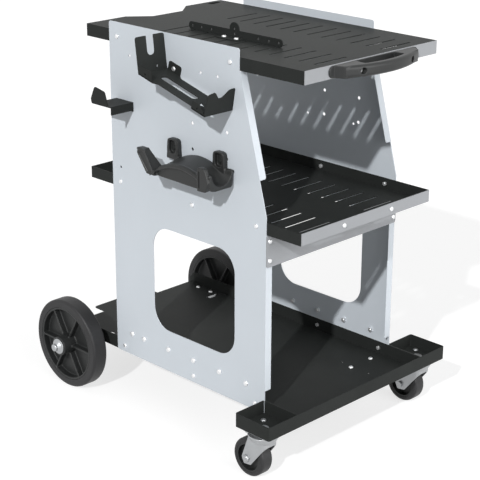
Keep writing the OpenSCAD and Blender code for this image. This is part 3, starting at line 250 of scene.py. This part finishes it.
def dressed(piece, slot, body, *nodes):
    """Gives a piece its finish and lets it stand for CAD nodes on their body."""
    piece.data.materials.clear()
    piece.data.materials.append(SLOT_MATERIALS[slot])
    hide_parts(*nodes)
    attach(piece, body)
    return piece


def frame_of(across, up, origin):
    """Matrix that stands a flat drawing up: its X along across and its Y along up."""
    across, up = Vector(across).normalized(), Vector(up).normalized()
    return Matrix.Translation(origin) @ Matrix((across, up, across.cross(up))).transposed().to_4x4()


# Torch holder: one sheet folded into a fork plate, a sloping arm and a V plate
SHEET = 2.0
FOLD_Y, FOLD_Z = 8.5, 755.5
ARM_SLOPE = math.radians(15.3)
FORK_LEAN = math.radians(7.5)
VEE_LEAN = math.radians(10)
ARM_L = 186.5
WAIST = 7.0
HOLE_R = 2.5
SLOT_R, SLOT_DEPTH = 9.5, 28.5
VEE_H = 44.5
TAB_ALONG, TAB_UP = 19.0, 8.8
holder_low, holder_high = box_mm("torch_holder")
WALL_X = holder_high.x
HOLDER_W = holder_high.x - holder_low.x
FORK_H = (holder_high.z - FOLD_Z) / math.cos(FORK_LEAN)


def torch_holder():
    w = HOLDER_W
    fold = Vector((WALL_X, FOLD_Y, FOLD_Z))
    down = Vector((0, -math.cos(ARM_SLOPE), -math.sin(ARM_SLOPE)))
    square = Vector((0, -math.sin(ARM_SLOPE), math.cos(ARM_SLOPE)))
    slot_low = FORK_H - SLOT_DEPTH
    fork = rounded(
        [(0, 0), (0, FORK_H), (w / 2 - SLOT_R, FORK_H), (w / 2 - SLOT_R, slot_low - SLOT_R),
         (w / 2 + SLOT_R, slot_low - SLOT_R), (w / 2 + SLOT_R, FORK_H), (w, FORK_H), (w, 0)],
        [0, 6, 2, 9.4, 9.4, 2, 6, 0], 8)
    fork_up = (0, math.sin(FORK_LEAN), math.cos(FORK_LEAN))
    arm = rounded(
        [(0, 0), (0, 38), (WAIST, 46), (WAIST, ARM_L - 46), (0, ARM_L - 38), (0, ARM_L), (w, ARM_L),
         (w, ARM_L - 36), (w - WAIST, ARM_L - 44), (w - WAIST, 48), (w, 39), (w, 0)],
        [0, 3, 3, 3, 3, 0, 0, 3, 3, 3, 3, 0])
    slot = rounded([(34, 28), (50, 28), (50, 125), (34, 125)], [7.9] * 4)
    slot = [point - Vector((42 - w / 2, 0)) for point in slot]
    relief = rounded([(w - 34, 141), (w - 22, 147), (w - 28, 158)], [1.5] * 3)
    rear_gusset = rounded([(0, 0), (36.5, 0), (31, 20), (-6.8, 16.5)], [0, 0, 3, 0])
    front_gusset = rounded([(149, 0), (ARM_L, 0), (ARM_L - 3, 4), (168, 17), (149, 17.2)], [0, 0, 2, 6, 1.5])
    tab = rounded([(3, 0), (38, 0), (38, 20), (3, 20)], [0, 0, 6, 5])
    vee = [(1, 0), (0.95, 0.93), (0.7, 1), (0.57, 0.7), (0.44, 0.7), (0.19, 0.98), (0.0, 1), (0, 0)]
    vee = rounded([(x * w, y * VEE_H) for x, y in vee], [0, 6, 5, 6, 6, 9, 3, 0])
    across = (-1, 0, 0)
    outer_edge = frame_of(down, square, fold - Vector((w - SHEET, 0, 0)))
    vee_up = (0, -math.sin(VEE_LEAN), math.cos(VEE_LEAN))
    return [
        sheet(fork, SHEET, frame_of(across, fork_up, fold), [ring(24, 10, HOLE_R)]),
        sheet(arm, SHEET, frame_of(across, down, fold), [slot, relief]),
        sheet(rear_gusset, SHEET, outer_edge, [ring(16, 8, HOLE_R)]),
        sheet(front_gusset, SHEET, outer_edge, [ring(165, 7, HOLE_R)]),
        sheet(tab, SHEET, frame_of(down, square, fold), [ring(TAB_ALONG, TAB_UP, HOLE_R)]),
        sheet(vee, SHEET, frame_of(across, vee_up, fold + down * ARM_L)),
    ]


dressed(joined("folded_torch_holder", torch_holder()), "black_paint", "frame", "torch_holder")


# Screws of the holders: black in the hanger's lugs, bright for the hook and in the torch holder's tab
TAB_SCREWS_ABOVE, HOOK_SCREWS_ABOVE = 740, 620


def holder_screws(low, high, shift=Vector()):
    """The screws that stand between two heights, moved by a shift."""
    points, faces = node_shell("holder_screws")
    kept = [face for face in faces if low < points[face[0]].z < high]
    return [point + shift for point in points], kept


tab_hole_y = FOLD_Y - TAB_ALONG * math.cos(ARM_SLOPE) - TAB_UP * math.sin(ARM_SLOPE)
tab_hole_z = FOLD_Z - TAB_ALONG * math.sin(ARM_SLOPE) + TAB_UP * math.cos(ARM_SLOPE)
tab_points = [point for point in node_shell("holder_screws")[0] if point.z > TAB_SCREWS_ABOVE]
tab_screw = sum(tab_points, Vector()) / len(tab_points)
tab_shift = Vector((0, tab_hole_y - tab_screw.y, tab_hole_z - tab_screw.z))
bright_screws = [
    holder_screws(TAB_SCREWS_ABOVE, math.inf, tab_shift),
    holder_screws(HOOK_SCREWS_ABOVE, TAB_SCREWS_ABOVE),
]
lug_screws = [holder_screws(-math.inf, HOOK_SCREWS_ABOVE)]
dressed(joined("holder_fixing_screws", bright_screws), "screw_zinc", "frame", "holder_screws")
dressed(joined("hanger_fixing_screws", lug_screws), "black_paint", "frame", "holder_screws")


# Cable hanger: one moulding of two lugs, a saddle with a rolled lip, a horn, a prong and a trough
hanger_low, hanger_high = box_mm("cable_hanger")
BACK_X, OUT_X = hanger_high.x, hanger_low.x
LUG_YS = (-14.5, -143.0)
LUG_W, LUG_TOP_W = 34.0, 29.0
LUG_SCREW_Z = 602.5
SKIRT_LOW = hanger_low.z + 1
CROWN_Y, CROWN_Z, CROWN_BEND = -85, 600, 0.0045
LIP_Y, LIP_Z, LIP_BEND = -98, 594, 0.0042
LIP_REAR, LIP_L, LIP_R, LIP_H = -31, 120, 6.5, 5
SADDLE_REAR, SADDLE_L, SADDLE_THICK = -10, 168, 5
FOOT_REAR, FOOT_L = -146, 32
TROUGH_REAR, TROUGH_L, TROUGH_R, TROUGH_FALL, TROUGH_Z = -122, 52, 26.0, 11, 603
HORN_H, HORN_LEAN, HORN_REAR, HORN_FRONT = 45, 30, -6, -29
WALL = 4


def side_sheet(outline, out_x, thickness, holes=()):
    """Plate in the plane of the side panel, from out_x inward; its outline is in Y and Z."""
    return sheet(outline, thickness, frame_of((0, 1, 0), (0, 0, 1), Vector((out_x, 0, 0))), holes)


def crown(y):
    return CROWN_Z - CROWN_BEND * (y - CROWN_Y) ** 2


def lip_height(y):
    return LIP_Z - LIP_BEND * (y - LIP_Y) ** 2


def saddle_height(u, y):
    """Height of the saddle at u from the wall: a crown that runs down into the trough at its front."""
    depth = BACK_X - OUT_X
    flat = crown(y) + (lip_height(y) - crown(y)) * u / depth
    t = min(1.0, max(0.0, (TROUGH_REAR - y) / TROUGH_L))
    trough = TROUGH_Z - TROUGH_FALL * t - math.sqrt(max(0.0, TROUGH_R ** 2 - (u - depth / 2 + 2) ** 2))
    blend = t * t * (3 - 2 * t)
    return flat + (trough - flat) * blend


def hanger_saddle():
    """Curved sheet from the wall to the lip, as long as the hanger."""
    sections = []
    for k in range(35):
        y = SADDLE_REAR - SADDLE_L * k / 34
        top = [Vector((BACK_X - u, y, saddle_height(u, y))) for u in range(2, 69, 2)]
        under = [point - Vector((0, 0, SADDLE_THICK)) for point in reversed(top)]
        sections.append(top + under)
    return loft(sections)


def hanger_front():
    """Solid foot under the trough, down to the skirt's lower edge."""
    low_edge = ((66, 9), (60, 2), (50, 0), (10, 0), (6, 3))
    sections = []
    for k in range(9):
        y = FOOT_REAR - FOOT_L * k / 8
        top = [Vector((BACK_X - u, y, saddle_height(u, y) - 1)) for u in range(6, 67, 2)]
        low = [Vector((BACK_X - u, y, SKIRT_LOW + rise)) for u, rise in low_edge]
        sections.append(top + low)
    return loft(sections)


def hanger_lip():
    """Roll along the saddle's outer edge, slimmer at its rear end."""
    sections = []
    for k in range(29):
        y = LIP_REAR - LIP_L * k / 28
        taper = min(1.0, 0.5 + k / 5)
        roll = []
        for j in range(14):
            t = 2 * math.pi * j / 14
            x = OUT_X + LIP_R + LIP_R * taper * math.cos(t)
            roll.append(Vector((x, y, lip_height(y) - 1 + LIP_H * taper * math.sin(t))))
        sections.append(roll)
    return loft(sections)


def hanger_lug(y, low):
    """Upright tongue on the wall with a recess round its screw hole."""
    top = hanger_high.z - 2
    side, crest = LUG_W / 2, LUG_TOP_W / 2
    outer = rounded([(y - side, low), (y + side, low), (y + crest, top), (y - crest, top)], [2, 2, 9, 9])
    recess = rounded([(y - 9.5, 592), (y + 9.5, 592), (y + 8.5, top - 4), (y - 8.5, top - 4)], [9, 9, 5, 5])
    hole = ring(y, LUG_SCREW_Z, 3)
    return [side_sheet(outer, BACK_X - WALL, WALL, [hole]), side_sheet(outer, BACK_X - 11, 8, [recess])]


def hanger_horn():
    """Solid arm that rises to the rear, with a raised border on its outer side."""
    def level(share):
        rear = HORN_REAR + HORN_LEAN * share
        front = HORN_FRONT + HORN_LEAN * share
        inner = OUT_X + 34 - 17 * share
        z = SKIRT_LOW + 2 + HORN_H * share
        return [Vector((OUT_X + 2, rear, z + 0.5)), Vector((inner, rear, z)), Vector((inner, front, z)),
                Vector((OUT_X + 2, front, z))]

    body = [level(k / 10) for k in range(11)]
    body.append([point + Vector((0, 1.5 - 3 * (i in (0, 1)), 3)) for i, point in enumerate(level(1))])
    outer = [(HORN_REAR, SKIRT_LOW + 3), (HORN_FRONT, SKIRT_LOW + 3)]
    outer += [(1, SKIRT_LOW + 51), (25, SKIRT_LOW + 45)]
    inner = [(-9, SKIRT_LOW + 7), (-23, SKIRT_LOW + 7), (3, SKIRT_LOW + 46), (20, SKIRT_LOW + 41)]
    border = side_sheet(rounded(outer, [4, 3, 6, 7]), OUT_X, WALL, [rounded(inner, [3, 3, 4, 4])])
    return [loft(body), border]


def cable_hanger():
    skirt_top = [(y, lip_height(y) - 3) for y in range(-146, -19, 6)]
    skirt = rounded([(-20, SKIRT_LOW + 2), (-141, SKIRT_LOW)] + skirt_top, [2, 2] + [0] * len(skirt_top))
    back_top = [(y, crown(y) - 2) for y in range(-150, -9, 6)]
    back = rounded([(-20, SKIRT_LOW + 6), (-141, SKIRT_LOW)] + back_top, [2, 2] + [0] * len(back_top))
    prong = rounded([(-149, SKIRT_LOW), (-149, 606), (-168, 606), (-178, 578), (-172, SKIRT_LOW + 1)],
                    [2, 7, 8, 8, 5])
    groove = rounded([(-152.5, SKIRT_LOW + 5), (-152.5, 599), (-156, 599), (-156, SKIRT_LOW + 5)], [1] * 4)
    shells = [
        hanger_saddle(), hanger_front(), hanger_lip(), side_sheet(skirt, OUT_X + 9, WALL),
        side_sheet(back, BACK_X - WALL, WALL), side_sheet(prong, OUT_X + 3, 6),
        side_sheet(prong, OUT_X, WALL, [groove]),
    ]
    shells += hanger_lug(LUG_YS[0], 580) + hanger_lug(LUG_YS[1], SKIRT_LOW) + hanger_horn()
    return shells


hanger = moulded(joined("moulded_cable_hanger", cable_hanger()), 0.9, 4)
dressed(hanger, "black_plastic", "frame", "cable_hanger")


# Bow handle: the CAD shape with moulded edges
handle = moulded(joined("moulded_bow_handle", [node_shell("bow_handle")]), 0.8, 6)
dressed(handle, "black_plastic", "frame", "bow_handle")


# Rear rims: soft moulded edges, with the ribs turned to where they stand on the real cart
RIB_TURN = 30


def turned(node, degrees):
    low, high = box_mm(node)
    axle = Matrix.Translation((low + high) / 2)
    return node_shell(node, axle @ Matrix.Rotation(math.radians(degrees), 4, "X") @ axle.inverted())


for side in ("left", "right"):
    rim = f"{side}_wheel_rim"
    rim_piece = moulded(joined(f"moulded_{rim}", [turned(rim, RIB_TURN)]), 1.2, 2)
    dressed(rim_piece, "wheel_plastic", f"{side}_wheel", rim)


def lathe(profile, place, count=48):
    """Closed shell turned from a closed profile of (radius, height) about the Z of a matrix."""
    points, faces = [], []
    size = len(profile)
    for i in range(count):
        turn = 2 * math.pi * i / count
        for radius, height in profile:
            points.append(place @ Vector((radius * math.cos(turn), radius * math.sin(turn), height)))
            j = len(points) - 1
            ahead = j + 1 if (j + 1) % size else j + 1 - size
            faces.append((j, ahead, (ahead + size) % (count * size), (j + size) % (count * size)))
    return points, faces


# Axle caps: a flange, a cone and a small dome over the end of the axle
caps_low, caps_high = box_mm("axle_caps")
cap_y, cap_z = (caps_low.y + caps_high.y) / 2, (caps_low.z + caps_high.z) / 2
RIM_FACE_X = box_mm("right_wheel_rim")[1].x
AXLE_R, DOME_R = 7.6, 8.2
DOME_FOOT, DOME_H = 12, 4
dome_turns = [math.radians(angle) for angle in range(0, 91, 15)]
dome = [(DOME_R * math.cos(t), DOME_FOOT + DOME_H * math.sin(t)) for t in dome_turns]
flange = [(17, 0.3), (17.3, 1.2), (16.6, 2.4), (14, 3), (9.4, 7), (DOME_R, 9)]
bore = [(DOME_R * 0.1, 10.5), (AXLE_R, 10.5), (AXLE_R, 0.3)]
cap_profile = flange + dome + bore
caps = []
for side in (-1, 1):
    outward = Matrix.Rotation(side * math.pi / 2, 4, "Y")
    caps.append(lathe(cap_profile, Matrix.Translation((side * RIM_FACE_X, cap_y, cap_z)) @ outward))
dressed(joined("turned_axle_caps", caps), "zinc", "frame", "axle_caps")


# Castor forks: the CAD shape with soft bends, and a conical crown round the king pin
CROWN_TOP = box_mm("left_castor_fork")[1].z
PIN_HOLE_R = 6.3
PIN_HEAD_R = 10
crown_profile = [
    (PIN_HOLE_R, 0), (31, 0), (32, -1), (31.5, -3.5), (25.5, -14), (23.5, -14), (29.5, -3), (29, -2.2),
    (PIN_HOLE_R, -2.2),
]
pins_low, pins_high = box_mm("castor_king_pins")
swivel_y = (pins_low.y + pins_high.y) / 2
for side, sign in (("left", -1), ("right", 1)):
    fork = f"{side}_castor_fork"
    swivel_x = (pins_high.x - PIN_HEAD_R) * sign
    crown_shell = lathe(crown_profile, Matrix.Translation((swivel_x, swivel_y, CROWN_TOP)))
    fork_piece = moulded(joined(f"pressed_{fork}", [node_shell(fork), crown_shell]), 0.8, 2)
    dressed(fork_piece, "zinc", f"{side}_castor", fork)


# Stage, light and camera
def white_to_camera(tree, shader, lit, out_name):
    """Shows lit to the camera, in mirrors and through gaps, and shader to the light that the object gets."""
    path = add(tree, "ShaderNodeLightPath")
    total = path.outputs["Is Camera Ray"]
    for ray in ("Is Glossy Ray", "Is Transmission Ray"):
        either = add(tree, "ShaderNodeMath", operation="MAXIMUM")
        tree.links.new(total, either.inputs[0])
        tree.links.new(path.outputs[ray], either.inputs[1])
        total = either.outputs[0]
    mix = add(tree, "ShaderNodeMixShader")
    tree.links.new(total, mix.inputs["Fac"])
    tree.links.new(shader, mix.inputs[1])
    tree.links.new(lit, mix.inputs[2])
    tree.links.new(mix.outputs[0], tree.nodes[out_name].inputs["Surface"])


FLOOR_BOUNCE, FLOOR_SHOWN, FLOOR_GLOW = 0.45, 0.40, 0.70
WORLD_LIGHT = 0.36

floor_mat, floor_tree, floor_shader = new_material("floor_paper")
floor_shader.inputs["Base Color"].default_value = (FLOOR_BOUNCE,) * 3 + (1,)
floor_shader.inputs["Roughness"].default_value = 1.0
floor_shader.inputs["Specular IOR Level"].default_value = 0.0
shown = add(floor_tree, "ShaderNodeBsdfDiffuse", Color=(FLOOR_SHOWN,) * 3 + (1,))
glow = add(floor_tree, "ShaderNodeEmission", Strength=FLOOR_GLOW)
paper = add(floor_tree, "ShaderNodeAddShader")
floor_tree.links.new(shown.outputs[0], paper.inputs[0])
floor_tree.links.new(glow.outputs[0], paper.inputs[1])
white_to_camera(floor_tree, floor_shader.outputs[0], paper.outputs[0], "Material Output")

FLOOR_R = 9.0
floor_mesh = bpy.data.meshes.new("studio_floor")
floor_mesh.from_pydata(
    [(-FLOOR_R, -FLOOR_R, 0), (FLOOR_R, -FLOOR_R, 0), (FLOOR_R, FLOOR_R, 0), (-FLOOR_R, FLOOR_R, 0)], [],
    [(0, 1, 2, 3)])
floor = bpy.data.objects.new("studio_floor", floor_mesh)
bpy.context.scene.collection.objects.link(floor)
floor_mesh.materials.append(floor_mat)

world = bpy.data.worlds.new("studio_world")
bpy.context.scene.world = world
world.use_nodes = True
soft_light = world.node_tree.nodes["Background"]
soft_light.inputs["Color"].default_value = (1, 1, 1, 1)
soft_light.inputs["Strength"].default_value = WORLD_LIGHT
white = add(world.node_tree, "ShaderNodeBackground", Color=(1, 1, 1, 1), Strength=1.0)
white_to_camera(world.node_tree, soft_light.outputs[0], white.outputs[0], "World Output")


def sun(name, direction, strength, angle):
    data = bpy.data.lights.new(name, "SUN")
    data.energy = strength
    data.angle = math.radians(angle)
    lamp = bpy.data.objects.new(name, data)
    bpy.context.scene.collection.objects.link(lamp)
    lamp.rotation_euler = Vector(direction).to_track_quat("-Z", "Y").to_euler()


sun("key_sun", direction=(1.0, 0.43, -0.72), strength=2.3, angle=1.5)
sun("front_fill", direction=(-0.1, 1.0, -0.25), strength=2.6, angle=58)

FOCAL_PX, AZIMUTH, ELEVATION, ROLL = 1415.36, -45.08, 19.87, 0.21
CAMERA_AT = (-1.99926, -1.99429, 1.37659)
FRAME_PX, SENSOR = 480, 36.0
camera_data = bpy.data.cameras.new("photo_camera")
camera = bpy.data.objects.new("photo_camera", camera_data)
bpy.context.scene.collection.objects.link(camera)
bpy.context.scene.camera = camera
camera_data.sensor_width = SENSOR
camera_data.lens = FOCAL_PX / FRAME_PX * SENSOR
camera_data.clip_start, camera_data.clip_end = 0.05, 60.0
azimuth, elevation, roll = (math.radians(value) for value in (AZIMUTH, ELEVATION, ROLL))
back = Vector((math.sin(azimuth) * math.cos(elevation), -math.cos(azimuth) * math.cos(elevation),
               math.sin(elevation)))
level = Vector((math.cos(azimuth), math.sin(azimuth), 0.0))
right = Matrix.Rotation(roll, 3, back) @ level
turned_view = Matrix((right, back.cross(right), back)).transposed().to_4x4()
camera.matrix_world = Matrix.Translation(CAMERA_AT) @ turned_view

bpy.context.scene.view_settings.view_transform = "Standard"
